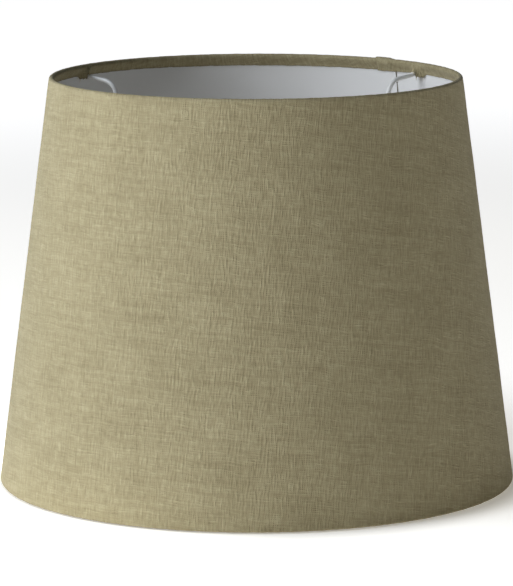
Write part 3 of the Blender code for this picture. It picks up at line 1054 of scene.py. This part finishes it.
# ---------------------------------------------------------------- floor
def make_floor():
    size, steps = 14.0, 24
    mesh = bpy.data.meshes.new("floor")
    bm = bmesh.new()
    bmesh.ops.create_grid(bm, x_segments=steps, y_segments=steps, size=size / 2.0)
    bm.to_mesh(mesh)
    bm.free()
    obj = bpy.data.objects.new("floor", mesh)
    obj.location = (0.0, 2.0, -0.0002)
    bpy.context.scene.collection.objects.link(obj)
    made, tree, shader = new_material("pale_floor")
    place = tree.nodes.new("ShaderNodeTexCoord").outputs["Object"]
    mottle = noise(tree, place, scale=3.0, detail=2.0, dims="3D")
    tree.links.new(mix_colour(tree, mottle, (0.90, 0.90, 0.90), (0.92, 0.92, 0.92)), shader.inputs["Base Color"])
    shader.inputs["Roughness"].default_value = 0.9
    shader.inputs["Specular IOR Level"].default_value = 0.1
    # It is lit from within as a lit studio floor, dimmed under the shade's foot: the dimmer glow there is a painted
    # shadow of the shade.
    away = tree.nodes.new("ShaderNodeVectorMath")
    away.operation = "DISTANCE"
    away.inputs[1].default_value = (0.0, -2.0, 0.0)
    tree.links.new(place, away.inputs[0])
    glow = ramp(tree, away.outputs["Value"], 0.200, 0.245, FLOOR_GLOW_INSIDE, FLOOR_GLOW)
    far = ramp(tree, away.outputs["Value"], 1.6, 3.0, 0.0, FLOOR_GLOW_FAR - FLOOR_GLOW)
    # The lit floor on the key light's side throws light back on the foot of the wall.
    across = tree.nodes.new("ShaderNodeSeparateXYZ")
    tree.links.new(place, across.inputs[0])
    near = ramp(tree, away.outputs["Value"], 0.215, 0.33, FLOOR_GLOW_NEAR, 0.0)
    near = math_node(tree, "MULTIPLY", near, ramp(tree, away.outputs["Value"], 0.208, 0.215))
    near = math_node(tree, "MULTIPLY", near, ramp(tree, across.outputs[0], -0.16, 0.04, 1.0, 0.0))
    glow = math_node(tree, "ADD", math_node(tree, "ADD", glow, far), near)
    tree.links.new(glow, shader.inputs["Emission Strength"])
    # Under the shade the glow is also warmer, a painted warm bounce off the linen.
    warm = ramp(tree, away.outputs["Value"], 0.200, 0.245)
    tint = mix_colour(tree, warm, (1.0, 0.955, 0.85), (1.0, 0.982, 0.935))
    tint = mix_colour(tree, ramp(tree, away.outputs["Value"], 0.9, 2.6), tint, (1.0, 1.0, 1.0))
    tree.links.new(tint, shader.inputs["Emission Color"])
    mesh.materials.append(made)
    return obj


FLOOR_GLOW = 0.71
FLOOR_GLOW_INSIDE = 0.26
FLOOR_GLOW_FAR = 0.96
FLOOR_GLOW_NEAR = 0.80
floor = make_floor()


# ---------------------------------------------------------------- light
def area_light(name, azimuth, elevation, distance, size, power, colour=(1.0, 1.0, 1.0), aim=(0.0, 0.0, 0.17)):
    data = bpy.data.lights.new(name, "AREA")
    data.shape = "RECTANGLE"
    data.size, data.size_y = size
    data.energy = power
    data.color = colour
    obj = bpy.data.objects.new(name, data)
    a, e = math.radians(azimuth), math.radians(elevation)
    spot = Vector(aim) + Vector((math.cos(a) * math.cos(e), math.sin(a) * math.cos(e), math.sin(e))) * distance
    obj.location = spot
    obj.rotation_euler = (Vector(aim) - spot).to_track_quat("-Z", "Y").to_euler()
    bpy.context.scene.collection.objects.link(obj)
    return obj


COOL = (0.94, 1.0, 1.08)
EVEN = (0.97, 1.0, 1.045)
WARM = (1.04, 0.99, 0.86)
# (name, azimuth, elevation, distance, (width, height), power, colour)
LIGHTS = [
    ("key_left", 200.0, 45.0, 3.0, (2.2, 1.5), 40.0, COOL),
    ("key_front_left", 206.0, 21.0, 3.0, (1.3, 1.2), 30.5, EVEN),
]
for row in LIGHTS:
    area_light(*row)
# (name, azimuth, distance, lowest, highest, width, power, colour): upright softboxes standing near the floor
BOXES = [
    ("low_left", 197.0, 2.0, 0.02, 0.40, 0.8, 3.6, COOL),
    ("mid_left", 185.0, 2.0, 0.40, 0.95, 0.8, 3.8, COOL),
    ("fill_right", 352.0, 2.0, 0.02, 0.70, 0.8, 0.5, WARM),
]
for name, azimuth, distance, low, high, width, power, colour in BOXES:
    middle = (low + high) / 2.0
    area_light(name, azimuth, 0.0, distance, (width, high - low), power, colour, (0.0, 0.0, middle))

WORLD = 1.0
world = bpy.data.worlds.new("studio")
bpy.context.scene.world = world
world.use_nodes = True
background = world.node_tree.nodes["Background"]
background.inputs["Color"].default_value = (1.0, 1.0, 1.0, 1.0)
background.inputs["Strength"].default_value = WORLD
# The white surroundings are seen, and the lamps do the lighting.
for ray in ("diffuse", "glossy", "transmission", "scatter"):
    setattr(world.cycles_visibility, ray, False)

# ---------------------------------------------------------------- camera
pitch, yaw, roll = 0.16589, math.radians(0.0033), math.radians(-0.1345)
forward = Vector((math.sin(yaw) * math.cos(pitch), math.cos(yaw) * math.cos(pitch), -math.sin(pitch)))
right = Vector((math.cos(yaw), -math.sin(yaw), 0.0))
upward = right.cross(forward)
right_turned = math.cos(roll) * right + math.sin(roll) * upward
up_turned = -math.sin(roll) * right + math.cos(roll) * upward
camera_data = bpy.data.cameras.new("camera")
camera_data.lens = 243.15
camera_data.sensor_width = 36.0
camera_data.sensor_fit = "AUTO"
camera_data.clip_start = 0.05
camera_data.clip_end = 60.0
camera = bpy.data.objects.new("camera", camera_data)
turn = Matrix((right_turned, up_turned, -forward)).transposed()
camera.matrix_world = Matrix.Translation((0.0, -3.1779, 0.68479)) @ turn.to_4x4()
bpy.context.scene.collection.objects.link(camera)
bpy.context.scene.camera = camera

scene = bpy.context.scene
scene.view_settings.view_transform = "Standard"
scene.view_settings.look = "None"
scene.view_settings.exposure = 0.0
scene.view_settings.gamma = 1.0

bpy.context.view_layer.update()
